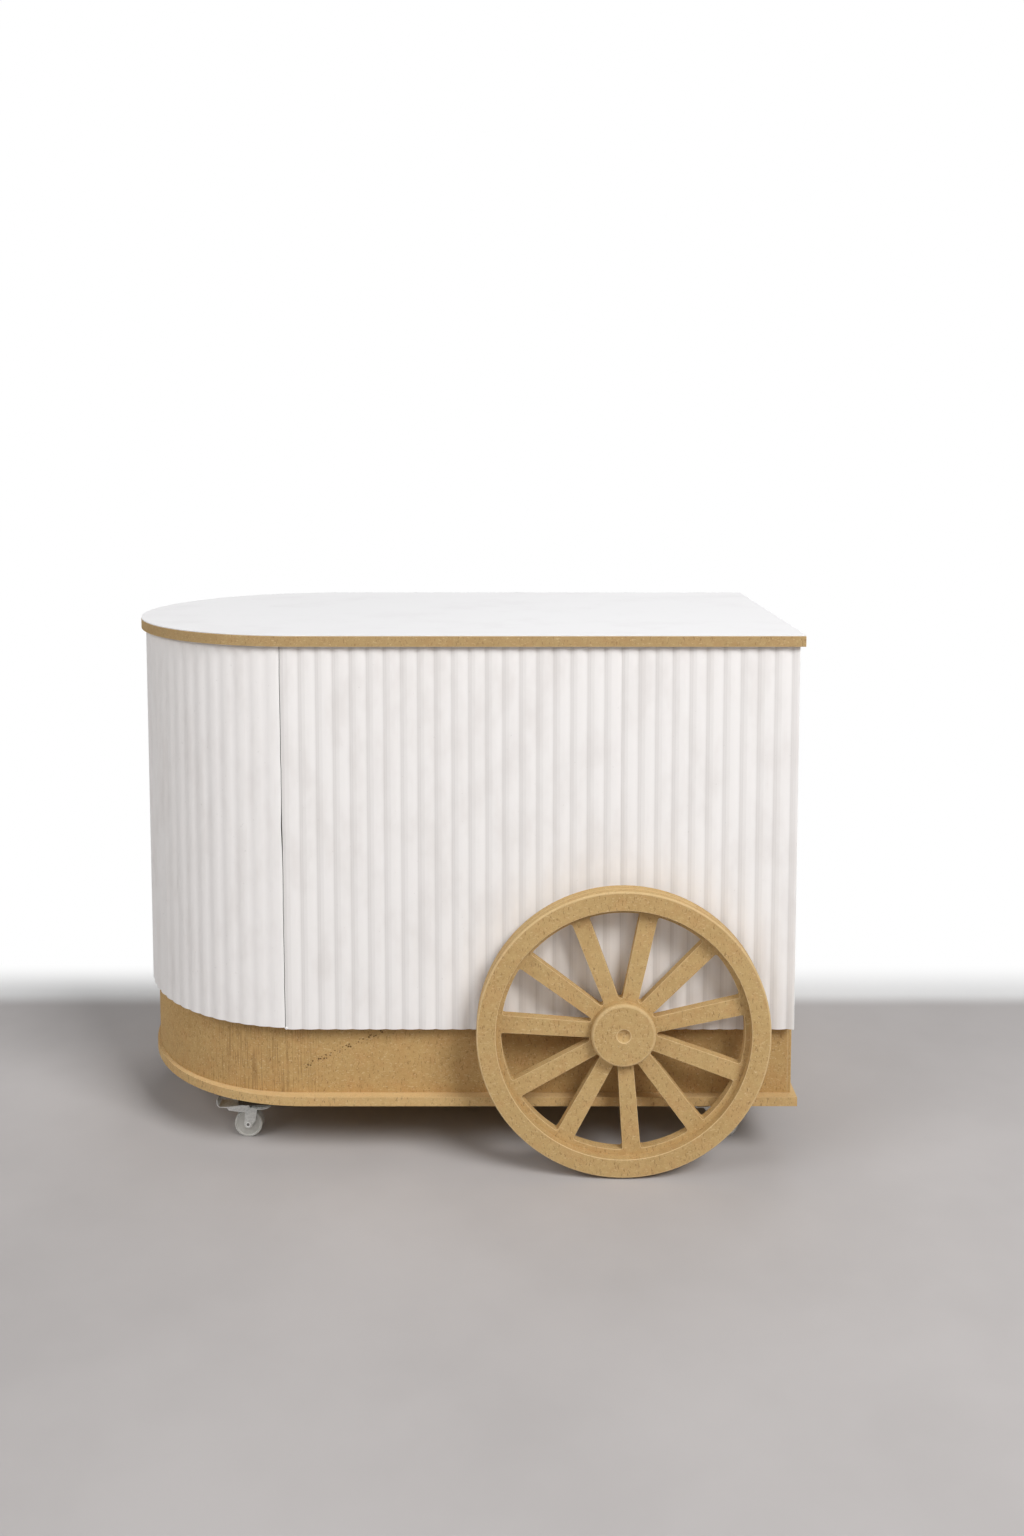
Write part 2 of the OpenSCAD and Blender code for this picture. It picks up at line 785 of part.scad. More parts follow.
top_sheet();
top_board();
carcass_top();
carcass_floor();
base_board();
upright_left();
upright_middle();
upright_right();
shelf_left();
shelf_right();
round_former();
fluted_sheet_curved();
fluted_sheet_front();
fluted_sheet_end();
plinth_band_curved();
plinth_band_front();
plinth_band_end();
plinth_band_rear();
plinth_former_lower();
plinth_former_upper();
plinth_rib_left();
plinth_rib_right();
plinth_rail_front();
plinth_rail_rear();
base_screws();
axle_block();
axle_pad();
axle_bolt();
axle_nut();
axle_washers();
wheel_spoke_board();
wheel_rim_ring();
wheel_hub_disc();
wheel_bush();
castor_block(0);  // castor_block_front_left
castor_block(1);  // castor_block_front_right
castor_block(2);  // castor_block_rear_left
castor_block(3);  // castor_block_rear_right
castor_screws();
castor_kingpins();
castor_plate(0);  // castor_plate_front_left
castor_plate(1);  // castor_plate_front_right
castor_plate(2);  // castor_plate_rear_left
castor_plate(3);  // castor_plate_rear_right
castor_fork(0, true);  // castor_fork_front_left
castor_fork(1, true);  // castor_fork_front_right
castor_fork(2, false);  // castor_fork_rear_left
castor_fork(3, false);  // castor_fork_rear_right
castor_axle(0);  // castor_axle_front_left
castor_axle(1);  // castor_axle_front_right
castor_axle(2);  // castor_axle_rear_left
castor_axle(3);  // castor_axle_rear_right
castor_wheel(0);  // castor_wheel_front_left
castor_wheel(1);  // castor_wheel_front_right
castor_wheel(2);  // castor_wheel_rear_left
castor_wheel(3);  // castor_wheel_rear_right
brake_pedal(0);  // brake_pedal_front_left
brake_pedal(1);  // brake_pedal_front_right
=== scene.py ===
import json
import math

import bmesh
import bpy
from mathutils import Matrix, Vector, noise


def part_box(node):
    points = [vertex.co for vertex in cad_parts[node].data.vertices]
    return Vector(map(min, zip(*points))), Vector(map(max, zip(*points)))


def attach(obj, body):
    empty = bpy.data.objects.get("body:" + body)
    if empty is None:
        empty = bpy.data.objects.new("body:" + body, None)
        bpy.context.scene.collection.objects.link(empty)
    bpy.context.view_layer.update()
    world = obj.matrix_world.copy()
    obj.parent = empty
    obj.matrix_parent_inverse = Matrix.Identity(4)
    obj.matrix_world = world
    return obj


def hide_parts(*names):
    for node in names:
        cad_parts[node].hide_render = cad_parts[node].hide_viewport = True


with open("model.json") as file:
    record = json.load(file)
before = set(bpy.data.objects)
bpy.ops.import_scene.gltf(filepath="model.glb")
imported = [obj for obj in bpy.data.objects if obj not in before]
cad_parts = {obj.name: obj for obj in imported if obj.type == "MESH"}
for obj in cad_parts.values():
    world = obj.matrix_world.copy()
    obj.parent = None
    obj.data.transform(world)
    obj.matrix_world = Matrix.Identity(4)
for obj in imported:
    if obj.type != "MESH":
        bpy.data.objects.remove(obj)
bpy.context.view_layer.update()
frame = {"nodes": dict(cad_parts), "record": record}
nodeBody = {node: body for body, nodes in frame["record"]["behaviour"]["bodies"].items() for node in nodes}
nodeSlot = {part["node"]: part["material_slot"] for part in frame["record"]["subparts"]}
corners = ("front_left", "front_right", "rear_left", "rear_right")
onPlane = 1e-4    # metres within which a point counts as on a plane


# Camera, where the photograph was taken from

photoCamera = {
    "place": (0.10384, -2.60335, 1.24559),
    "tiltDown": 0.081,          # radians below the horizon
    "focalPixels": 1369.0,      # on an image 1536 pixels high
    "axisRow": 558.2,           # row of the image that the lens points at
    "imageHigh": 1536,
    "sensor": 36.0,
}


def makeCamera(v):
    data = bpy.data.cameras.new("photoCamera")
    data.sensor_width = v["sensor"]
    data.lens = v["focalPixels"] * v["sensor"] / v["imageHigh"]
    data.shift_y = (v["axisRow"] - v["imageHigh"] / 2) / v["imageHigh"]
    camera = bpy.data.objects.new("photoCamera", data)
    camera.location = v["place"]
    camera.rotation_euler = (math.pi / 2 - v["tiltDown"], 0, 0)
    bpy.context.scene.collection.objects.link(camera)
    bpy.context.scene.camera = camera


makeCamera(photoCamera)
print("camera placed")


# Material maths: a Wire is one socket, and expressions on it add Math nodes

class Wire:
    def __init__(self, tree, socket):
        self.tree = tree
        self.socket = socket

    def maths(self, operation, first, second):
        node = self.tree.nodes.new("ShaderNodeMath")
        node.operation = operation
        for slot, value in zip(node.inputs, (first, second)):
            if isinstance(value, Wire):
                self.tree.links.new(value.socket, slot)
            else:
                slot.default_value = value
        return Wire(self.tree, node.outputs[0])

    def __add__(self, other):
        return self.maths("ADD", self, other)

    def __sub__(self, other):
        return self.maths("SUBTRACT", self, other)

    def __rsub__(self, other):
        return self.maths("SUBTRACT", other, self)

    def __mul__(self, other):
        return self.maths("MULTIPLY", self, other)

    __radd__ = __add__
    __rmul__ = __mul__


class Finish:
    def __init__(self, name):
        self.material = bpy.data.materials.new(name)
        self.material.use_nodes = True
        self.tree = self.material.node_tree
        self.tree.nodes.clear()
        self.coords = self.add("ShaderNodeTexCoord", out="Object")

    # Any node, by its type, its settings, its sockets' values or links, and the output that is wanted
    def add(self, kind, settings=None, sockets=None, out=0):
        node = self.tree.nodes.new(kind)
        for key, value in (settings or {}).items():
            setattr(node, key, value)
        named = {socket.identifier: socket for socket in node.inputs}
        for key, value in (sockets or {}).items():
            if isinstance(value, Wire):
                self.tree.links.new(value.socket, named[key])
            else:
                named[key].default_value = value
        if isinstance(out, int):
            return Wire(self.tree, node.outputs[out])
        return Wire(self.tree, {socket.identifier: socket for socket in node.outputs}[out])

    # Noise of about one grain per size metres, stretched along an axis by squeeze
    def grain(self, size, detail=3.0, rough=0.5, squeeze=(1, 1, 1), turn=(0, 0, 0), shift=0.0):
        where = self.add("ShaderNodeMapping", None,
                         {"Vector": self.coords, "Scale": squeeze, "Rotation": turn,
                          "Location": (shift, shift, shift)})
        return self.add("ShaderNodeTexNoise", None,
                        {"Vector": where, "Scale": 1.0 / size, "Detail": detail, "Roughness": rough})

    # 0 below low, 1 above high, smooth between
    def rise(self, value, low, high):
        return self.add("ShaderNodeMapRange", {"interpolation_type": "SMOOTHSTEP"},
                        {"Value": value, "From Min": low, "From Max": high})

    def blend(self, amount, first, second):
        return self.add("ShaderNodeMix", {"data_type": "RGBA"},
                        {"Factor_Float": amount, "A_Color": first, "B_Color": second}, out="Result_Color")

    def attribute(self, name):
        return self.add("ShaderNodeAttribute", {"attribute_name": name}, out="Fac")

    def axes(self):
        parts = self.add("ShaderNodeSeparateXYZ", None, {"Vector": self.coords})
        node = parts.socket.node
        return [Wire(self.tree, node.outputs[i]) for i in range(3)]

    def bump(self, height, depth, strength=1.0):
        return self.add("ShaderNodeBump", None,
                        {"Height": height, "Distance": depth, "Strength": strength})

    def surface(self, colour, roughness, fixed=None, **linked):
        sockets = {"Base Color": colour, "Roughness": roughness}
        sockets.update(fixed or {})
        sockets.update(linked)
        self.end(self.add("ShaderNodeBsdfPrincipled", None, sockets))
        return self.material

    def end(self, shader):
        ending = self.tree.nodes.new("ShaderNodeOutputMaterial")
        self.tree.links.new(shader.socket, ending.inputs["Surface"])


# A colour as a screen shows it, 0 to 255, turned into the linear colour that shaders take
def screen(red, green, blue):
    linear = [((c / 255 + 0.055) / 1.055) ** 2.4 if c > 10 else c / 255 / 12.92 for c in (red, green, blue)]
    return (*linear, 1.0)


# In the finishes, a range is the noise at which a mark starts to show and at which it shows in full,
# and a show is how strongly it then covers what is under it

# Raw fibreboard: clouds, mottle, dark and light fibres, and a painted highlight on taken-off edges

fibreboard = {
    "body": screen(192, 161, 109),
    "deep": screen(181, 146, 94),
    "pale": screen(208, 178, 126),
    "warm": screen(194, 152, 101),
    "fibre": screen(133, 98, 58),
    "fleck": screen(220, 197, 154),
    "edge": screen(232, 205, 158),
    "cloudSize": 0.11, "cloudRange": (0.35, 0.65), "cloudShow": 0.40,
    "warmSize": 0.035, "warmRange": (0.42, 0.66), "warmShow": 0.45,
    "mottleSize": 0.011, "mottleRange": (0.35, 0.68), "mottleShow": 0.40,
    "dustSize": 0.0016, "dustRange": (0.50, 0.70), "dustShow": 0.60,
    "fibreSize": 0.0030, "fibreRange": (0.66, 0.74), "fibreShow": 0.50,
    "fleckSize": 0.0024, "fleckRange": (0.66, 0.75),
    "fibreLong": 0.35,          # across a fibre over along it
    "fleckLong": 0.4,
    "edgeShow": 0.60,
    "roughness": 0.82,
    "bumpDepth": 0.00035,
}

# Fibres lie in three directions, each a turn of the pattern about x, y and z and a shift of it
fibreLayers = (((0.3, 0.2, 0.5), 0.0), ((1.2, 0.9, 2.1), 3.1), ((2.3, 1.7, 0.2), 7.7))


def rawBoard(name, v, extra=None):
    make = Finish(name)
    cloud = make.rise(make.grain(v["cloudSize"], 2), *v["cloudRange"])
    mottle = make.rise(make.grain(v["mottleSize"], 3, 0.6), *v["mottleRange"])
    warmth = make.grain(v["warmSize"], 3, 0.6, turn=(0.4, 0.1, 0.8), shift=4.0)
    warmth = make.rise(warmth, *v["warmRange"])
    colour = make.blend(cloud * v["cloudShow"], v["body"], v["deep"])
    colour = make.blend(warmth * v["warmShow"], colour, v["warm"])
    colour = make.blend(mottle * v["mottleShow"], colour, v["pale"])
    dust = make.grain(v["dustSize"], 2, 0.6)
    colour = make.blend(make.rise(dust, *v["dustRange"]) * v["dustShow"], colour, v["deep"])
    marks = None
    for turn, shift in fibreLayers:
        fibre = make.grain(v["fibreSize"], 1, 0.5, (1, 1, v["fibreLong"]), turn, shift)
        fleck = make.grain(v["fleckSize"], 1, 0.5, (v["fleckLong"], 1, 1), turn, shift + 11)
        fibre, fleck = make.rise(fibre, *v["fibreRange"]), make.rise(fleck, *v["fleckRange"])
        colour = make.blend(fibre * v["fibreShow"], colour, v["fibre"])
        colour = make.blend(fleck * v["fibreShow"], colour, v["fleck"])
        marks = fibre if marks is None else marks + fibre
    # Taken-off edges get the pale edge colour: a painted highlight
    colour = make.blend(make.attribute("edge") * v["edgeShow"], colour, v["edge"])
    height = dust * 0.5 + mottle * 0.3 - marks * 0.5
    if extra:
        colour, height = extra(make, colour, height)
    return make.surface(colour, make.rise(mottle, 0, 1) * 0.08 + (v["roughness"] - 0.04),
                        {"Specular IOR Level": 0.25}, Normal=make.bump(height, v["bumpDepth"], 0.8))


# The plinth band is bent fibreboard: fine saw cuts where it starts to bend, and a slanting row of pits

bandMarks = {
    "cutSize": 0.0021, "cutRange": (0.52, 0.62), "cutShow": 0.42,
    "breakSize": 0.016, "breakRange": (0.36, 0.58),    # where a cut is faint
    "cutFrom": -0.46, "cutTo": -0.26,    # along x
    "pitStart": (-0.262, 0.164), "pitEnd": (-0.118, 0.232),
    "pitBand": 0.0044,          # half the width of the row
    "pitSpace": 0.0063,
    "pitReach": 0.32,           # radius of a pit, in parts of the space between pits
    "pitShow": 0.78,
    "missingRange": (0.36, 0.50),    # where the row has no pits
    "pitColour": screen(92, 64, 34),
}


def bandMarksOn(make, colour, height):
    v = bandMarks
    x, y, z = make.axes()
    begun = make.rise(x, v["cutFrom"] - 0.04, v["cutFrom"] + 0.06)
    inRange = begun * (1 - make.rise(x, v["cutTo"], v["cutTo"] + 0.05))
    broken = make.rise(make.grain(v["breakSize"], 2, 0.5, (1, 1, 0.6)), *v["breakRange"]) * 0.7 + 0.3
    cuts = make.rise(make.grain(v["cutSize"], 1, 0.4, (1, 1, 0.02)), *v["cutRange"]) * inRange * broken
    colour = make.blend(cuts * v["cutShow"], colour, fibreboard["fibre"])
    row = Vector(v["pitEnd"]) - Vector(v["pitStart"])
    run = row.length
    row.normalize()
    fromX, fromZ = x - v["pitStart"][0], z - v["pitStart"][1]
    along = fromX * row.x + fromZ * row.y
    aside = fromX * row.y - fromZ * row.x
    place = make.add("ShaderNodeCombineXYZ", None,
                     {"X": along * (1 / v["pitSpace"]), "Y": aside * (1 / v["pitSpace"])})
    away = make.add("ShaderNodeTexVoronoi", {"voronoi_dimensions": "2D"}, {"Vector": place, "Scale": 1.0})
    near = 1 - make.rise(aside * aside, (v["pitBand"] * 0.7) ** 2, v["pitBand"] ** 2)
    within = make.rise(along, -0.004, 0.002) * (1 - make.rise(along, run, run + 0.006))
    within = within * (1 - make.rise(y, -0.1, 0))
    uneven = make.rise(make.grain(v["pitSpace"] * 1.5, 2, 0.5, shift=2.2), *v["missingRange"])
    pits = (1 - make.rise(away, v["pitReach"] * 0.6, v["pitReach"])) * near * within * uneven
    colour = make.blend(pits * v["pitShow"], colour, v["pitColour"])
    return colour, height - cuts * 0.8 - pits * 4


# White paint on the flutes, brushed, with painted shade on each flute's left side, as if lit from the right,
# and painted shade in the grooves

flutePaint = {
    "body": screen(246, 243, 241),
    "thin": screen(230, 225, 222),
    "leftShade": screen(206, 202, 199),
    "groove": screen(196, 191, 187),
    "edge": screen(250, 248, 247),
    "joint": screen(64, 60, 56),
    "coatSize": 0.05, "coatRange": (0.4, 0.75), "coatShow": 0.55,
    "brushSize": 0.004, "brushRange": (0.55, 0.8), "brushShow": 0.25,
    "speckSize": 0.006, "speckRange": (0.74, 0.8), "speckShow": 0.25,
    "leftShadeShow": 0.36,
    "grooveRange": (0.72, 1.0),    # of the groove's depth
    "edgeShow": 0.6,
    "jointShow": 0.95,
    "roughness": 0.5,
    "bumpDepth": 0.0004,
}


def paintedFlutes(v):
    make = Finish("paintedFlutes")
    brush = make.grain(v["brushSize"], 3, 0.6, (1, 1, 0.05))
    coat = make.grain(v["coatSize"], 3, 0.6, (1, 1, 0.4))
    colour = make.blend(make.rise(coat, *v["coatRange"]) * v["coatShow"], v["body"], v["thin"])
    colour = make.blend(make.rise(brush, *v["brushRange"]) * v["brushShow"], colour, v["thin"])
    # Painted shade on each flute's left side, as if lit from the right
    leftShade = make.rise(make.attribute("leftShade"), 0.0, 1.0)
    colour = make.blend(leftShade * v["leftShadeShow"], colour, v["leftShade"])
    # Painted shade in the grooves, deepest at the bottom of each groove
    groove = make.rise(make.attribute("groove"), *v["grooveRange"])
    colour = make.blend(groove * (coat * 0.3 + 0.10), colour, v["groove"])
    # The taken-off arrises and ends get a painted highlight in the edge colour, and the dab gets the same
    # colour as its own whiter paint
    colour = make.blend(make.attribute("edge") * v["edgeShow"], colour, v["edge"])
    colour = make.blend(make.attribute("joint") * v["jointShow"], colour, v["joint"])
    # Random specks take the same grey as the painted groove shade
    speck = make.rise(make.grain(v["speckSize"], 1, 0.5, shift=5.0), *v["speckRange"])
    colour = make.blend(speck * v["speckShow"], colour, v["groove"])
    rough = make.rise(coat, 0.3, 0.7) * 0.12 + (v["roughness"] - 0.06)
    return make.surface(colour, rough, {"Specular IOR Level": 0.35},
                        Normal=make.bump(brush * 0.6 + coat * 0.6, v["bumpDepth"], 0.6))


# White sheet on the top: smooth, with a faint pebble, a few rubbed places and a painted highlight on its
# taken-off edges

topSheet = {
    "body": screen(236, 235, 236),
    "rubbed": screen(229, 227, 228),
    "edge": screen(254, 253, 252),
    "rubSize": 0.12, "rubRange": (0.45, 0.75), "rubShow": 0.5,
    "edgeShow": 0.6,
    "pebbleSize": 0.0022,
    "roughness": 0.34,
    "bumpDepth": 0.00006,
}


def whiteSheet(v):
    make = Finish("whiteSheet")
    rub = make.rise(make.grain(v["rubSize"], 3, 0.6), *v["rubRange"])
    colour = make.blend(rub * v["rubShow"], v["body"], v["rubbed"])
    # Painted highlight on the sheet's taken-off edges
    colour = make.blend(make.attribute("edge") * v["edgeShow"], colour, v["edge"])
    pebble = make.grain(v["pebbleSize"], 2, 0.5)
    return make.surface(colour, rub * 0.10 + v["roughness"], {"Specular IOR Level": 0.4},
                        Normal=make.bump(pebble, v["bumpDepth"], 0.5))


# Zinc plate on pressed steel: crystal mottle, dull stains, a painted highlight on the edges and painted
# shade in the recesses

zincPlate = {
    "body": screen(226, 227, 224),
    "dull": screen(192, 193, 190),
    "stain": screen(138, 131, 118),
    "edge": screen(244, 244, 242),
    "recess": screen(74, 72, 68),
    "crystalSize": 0.004, "crystalRange": (0.35, 0.7), "crystalShow": 0.6,
    "stainSize": 0.012, "stainRange": (0.58, 0.78), "stainShow": 0.35,
    "edgeShow": 0.8,
    "recessShow": 0.8,
    "drawSize": 0.0008,         # between lines of the rolled sheet
    "roughness": 0.44,
    "metal": 0.5,
    "bumpDepth": 0.0001,
}


def zincSteel(name, v):
    make = Finish(name)
    crystal = make.grain(v["crystalSize"], 2, 0.5)
    stain = make.rise(make.grain(v["stainSize"], 4, 0.65), *v["stainRange"])
    draw = make.grain(v["drawSize"], 2, 0.5, (0.15, 1, 1))
    colour = make.blend(make.rise(crystal, *v["crystalRange"]) * v["crystalShow"], v["body"], v["dull"])
    colour = make.blend(stain * v["stainShow"], colour, v["stain"])
    # Painted highlight on the taken-off edges
    colour = make.blend(make.attribute("edge") * v["edgeShow"], colour, v["edge"])
    # Painted shade in the recesses of screw heads and rivet ends
    colour = make.blend(make.attribute("recess") * v["recessShow"], colour, v["recess"])
    rough = crystal * 0.18 + stain * 0.22 + (v["roughness"] - 0.09)
    return make.surface(colour, rough, None, Metallic=v["metal"] - stain * 0.2,
                        Normal=make.bump(draw * 0.4 + crystal * 0.6, v["bumpDepth"], 0.7))


# Moulded nylon of the castor wheels and the bush, with a painted highlight on its taken-off edges

nylon = {
    "body": screen(194, 193, 187),
    "cloudy": screen(176, 174, 167),
    "dirt": screen(118, 110, 98),
    "edge": screen(238, 238, 234),
    "cloudSize": 0.015, "cloudRange": (0.35, 0.7), "cloudShow": 0.6,
    "dirtSize": 0.006, "dirtRange": (0.50, 0.72), "dirtShow": 0.12,
    "treadDirt": 0.75,          # more dirt on the tread
    "edgeShow": 0.7,
    "fineSize": 0.0012,
    "roughness": 0.46,
    "bumpDepth": 0.0001,
}


def mouldedNylon(name, v):
    make = Finish(name)
    cloud = make.rise(make.grain(v["cloudSize"], 3, 0.5), *v["cloudRange"])
    dirt = make.rise(make.grain(v["dirtSize"], 4, 0.7), *v["dirtRange"])
    colour = make.blend(cloud * v["cloudShow"], v["body"], v["cloudy"])
    # Painted highlight on the taken-off edges
    colour = make.blend(make.attribute("edge") * v["edgeShow"], colour, v["edge"])
    colour = make.blend(dirt * (make.attribute("tread") * v["treadDirt"] + v["dirtShow"]), colour, v["dirt"])
    fine = make.grain(v["fineSize"], 2, 0.5)
    return make.surface(colour, cloud * 0.10 + (v["roughness"] - 0.05),
                        {"Specular IOR Level": 0.45},
                        Normal=make.bump(fine + dirt * 0.6, v["bumpDepth"], 0.6))


# One finish for each of the record's material slots, then those of single pieces
finishes = {
    "mdf": rawBoard("rawBoard", fibreboard),
    "painted_flutes": paintedFlutes(flutePaint),
    "white_laminate": whiteSheet(topSheet),
    "zinc_steel": zincSteel("zincSteel", zincPlate),
    "nylon": mouldedNylon("mouldedNylon", nylon),
}
bandFinish = rawBoard("bentBoard", dict(fibreboard, body=screen(190, 156, 102), deep=screen(179, 141, 87),
                                        pale=screen(206, 173, 119), warm=screen(192, 147, 94)), bandMarksOn)
# Paler copy of raw board for the base board: painted light on its lit edge
litBaseFinish = rawBoard("litBaseBoard", dict(fibreboard, body=screen(203, 170, 116), deep=screen(192, 155, 101),
                                        pale=screen(219, 187, 133), warm=screen(205, 161, 108)))
# Darker copy of raw board for the top board: painted shade on its edge
shadedTopFinish = rawBoard("shadedTopBoard", dict(fibreboard, body=screen(182, 153, 107), deep=screen(170, 139, 93),
                                      pale=screen(195, 168, 122), warm=screen(182, 145, 99)))
# Near-black copy of raw board for the castor blocks: painted shade, since under the base board they sit in
# shade
shadeDarkBoard = dict(fibreboard, body=screen(62, 54, 44), deep=screen(48, 42, 34), pale=screen(78, 68, 56),
                    warm=screen(64, 50, 38), fibre=screen(36, 30, 24), fleck=screen(92, 80, 64),
                    edge=screen(88, 76, 60))
shadeDarkFinish = rawBoard("shadeDarkBoard", shadeDarkBoard)
# Darker copy of zinc for the castor plates and screws: painted shade, as they sit in shade under the base
# board
shadedZinc = zincSteel("shadedZinc", dict(zincPlate, body=screen(128, 127, 120), dull=screen(100, 99, 92),
                                      edge=screen(150, 149, 142), metal=0.35))
# Paler copy of zinc for the castor axles: a painted highlight on the rivet ends
highlightZinc = zincSteel("highlightZinc", dict(zincPlate, body=screen(250, 250, 248),
                                          dull=screen(236, 236, 232), metal=0.25))
print("finishes made")


# Edge work: a merged copy of a CAD piece with its sharp edges taken off, and the faces that take them off
# marked for a painted highlight

edgeWork = {
    "weld": 2e-6,          # metres between points of a CAD mesh that are one point
    "flatWithin": 0.3,     # degrees, within which faces of a CAD mesh become one
    "sharpFrom": 40,       # degrees between two faces, from which their edge is taken off
    "crispFrom": 48,       # degrees, from which an edge that is left is shaded crisp
}


def sharpEdges(bm, angle=edgeWork["sharpFrom"]):
    limit = math.radians(angle)
    return [e for e in bm.edges if len(e.link_faces) == 2 and e.calc_face_angle(0) > limit]


# The new faces are marked with pale, how strong the painted highlight on them is
def takeOff(bm, edges, width, segments, layer, pale=1.0):
    made = bmesh.ops.bevel(bm, geom=edges, offset=width, offset_type="OFFSET", affect="EDGES",
                           segments=segments, profile=0.5, material=-1, clamp_overlap=True)
    for face in made["faces"]:
        face[layer] = pale


def mergedCopy(node):
    bm = bmesh.new()
    bm.from_mesh(frame["nodes"][node].data)
    flat = math.radians(edgeWork["flatWithin"])
    bmesh.ops.remove_doubles(bm, verts=bm.verts, dist=edgeWork["weld"])
    bmesh.ops.dissolve_limit(bm, angle_limit=flat, verts=bm.verts, edges=bm.edges)
    return bm


def pieceFrom(bm, name, node, material, sharp=edgeWork["crispFrom"]):
    mesh = bpy.data.meshes.new(name)
    bm.to_mesh(mesh)
    bm.free()
    mesh.polygons.foreach_set("use_smooth", [True] * len(mesh.polygons))
    mesh.set_sharp_from_angle(angle=math.radians(sharp))
    piece = bpy.data.objects.new(name, mesh)
    bpy.context.scene.collection.objects.link(piece)
    mesh.materials.append(material)
    even = piece.modifiers.new("evenNormals", "WEIGHTED_NORMAL")
    even.keep_sharp = True
    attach(piece, nodeBody[node])
    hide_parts(node)
    return piece


# Each round is a width, a number of segments, how strong its painted highlight is and which edges it takes
def softened(node, width, rounds=(), material=None, change=None, prepare=None):
    bm = mergedCopy(node)
    layer = bm.faces.layers.float.new("edge")
    if prepare:
        prepare(bm, layer)
    for size, steps, pale, chosen in rounds:
        takeOff(bm, [e for e in sharpEdges(bm) if chosen(e)], size, steps, layer, pale)
    takeOff(bm, [e for e in sharpEdges(bm) if not onBandJoint(e)], width, 2, layer)
    if change:
        change(bm)
    return pieceFrom(bm, node + "_edged", node, material or finishes[nodeSlot[node]])


# The bent part of the plinth band runs into its flat parts without a gap
def onBandJoint(edge):
    return allAt(0, bandJoint)(edge)


def allAt(axis, place):
    return lambda edge: all(abs(v.co[axis] - place) < onPlane for v in edge.verts)


# The flat of the ledge round the plinth band gets a painted highlight, paler than the rest, as if it caught
# light from above
def highlightLedgeTop(bm):
    layer = bm.faces.layers.float["edge"]
    top = max(v.co.z for v in bm.verts)
    for face in bm.faces:
        if face.normal.z > 0.9 and face.calc_center_median().z > top - onPlane:
            face[layer] = boardEdges["ledgeHighlight"]


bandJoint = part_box("plinth_band_front")[0][0]
boardEdges = {
    "cut": 0.0007,
    "sanded": 0.0012,
    "sheet": 0.0006,
    "ledge": (0.0042, 4, 1.1),    # round on the base board's upper edge: width, segments, strength of its painted highlight
    "ledgeHighlight": 0.5,             # painted highlight on the flat of the ledge
}
visibleBoards = ("carcass_top", "carcass_floor", "upright_left", "upright_middle",
                 "upright_right", "shelf_left", "shelf_right", "axle_block", "axle_pad", "plinth_band_rear")
bentBoards = ("plinth_band_curved", "plinth_band_front", "plinth_band_end")
for board in visibleBoards:
    softened(board, boardEdges["cut"])
for board in bentBoards:
    softened(board, boardEdges["cut"], material=bandFinish)
for corner in corners:
    softened("castor_block_" + corner, boardEdges["cut"], material=shadeDarkFinish)
softened("top_board", boardEdges["cut"], material=shadedTopFinish)
softened("base_board", boardEdges["sanded"], change=highlightLedgeTop, material=litBaseFinish,
         rounds=[(*boardEdges["ledge"], allAt(2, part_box("base_board")[1][2]))])
softened("top_sheet", boardEdges["sheet"])
print("boards edged")


# Fluted sheets: crisp grooves, ends and upright arrises taken off, a wandering joint between the two sheets

flutes = {
    "arris": 0.0009,           # taken off the upright edges
    "end": 0.0006,             # taken off the upper and lower edges
    "crispFrom": 24,           # degrees, so that a groove stays crisp and a flute smooth
    "squareFrom": 60,          # degrees, at the sheet's own ends and sides
    "levelWithin": 0.001,      # an edge that rises less is level
    "longFrom": 0.1,           # an edge that rises more is one of the upright ones
    "levels": 28,              # rings of vertices up each sheet
    "rise": 0.0025,
    "steepest": 19.6,          # degrees, at the groove
    # How much painted shade the flutes' left sides get, on the flat sheets and on the round one
    "leftShadeFlat": 1.0, "leftShadeRound": 0.15,
    "joint": -0.2885,          # middle of the joint, along x
    "jointShift": -0.0026,     # how far the edges of both sheets stand to the left of the drawing
    "jointLean": 0.0022,       # how far the joint's foot leans to the right
    "jointWander": 0.0016,
    "wanderWaves": (9, 31),    # slow and quick, in a metre
    "jointEase": 3,            # how early, coming near the joint, the sheets follow it in full
    "gape": 0.0006,            # how much further each edge stands back where the joint gapes
    "gapeAt": 0.59, "gapeReach": 0.032,
    "jointReach": 0.008,       # how far from the joint the sheets follow it
    "drop": 0.0020,            # how far the flat sheet hangs below the curved one
    "dropPower": 8,            # more keeps the drop nearer the foot
    "dabRight": 0.0046,        # from the middle of the joint
    "dabSize": (0.0036, 0.0014, 0.0024),
    "dabLumps": 0.35,
    "dabGrain": 420,           # lumps in a metre
}


def grooveDepths(bm, depthOf, layer):
    for vert in bm.verts:
        vert[layer] = max(0.0, min(1.0, depthOf(vert.co) / flutes["rise"]))


# How far each facet of a flute turns to the left, as seen from outside: 0 at the crest, full at the groove.
# This is how much painted shade the facet gets, as if lit from the right
def paintLeftShade(bm, outward, full, layer):
    steepest = math.sin(math.radians(flutes["steepest"]))
    for face in bm.faces:
        away = outward(face.calc_center_median())
        right = Vector((0, 0, 1)).cross(away)
        if face.normal.dot(away) > 0.5:
            face[layer] = full * max(-1.0, min(1.0, -face.normal.dot(right) / steepest))


# A dab of paint left at the foot of the joint
def addDab(bm, v, low, layer):
    place = Vector((v["joint"] + v["jointShift"] + v["dabRight"], low[1] + v["dabSize"][1], low[2]))
    shape = Matrix.Translation(place) @ Matrix.Diagonal((*v["dabSize"], 1))
    made = bmesh.ops.create_icosphere(bm, subdivisions=3, radius=1.0, matrix=shape)
    for vert in made["verts"]:
        vert.co += (vert.co - place) * v["dabLumps"] * noise.noise(vert.co * v["dabGrain"])
        for face in vert.link_faces:
            face[layer] = 1.0


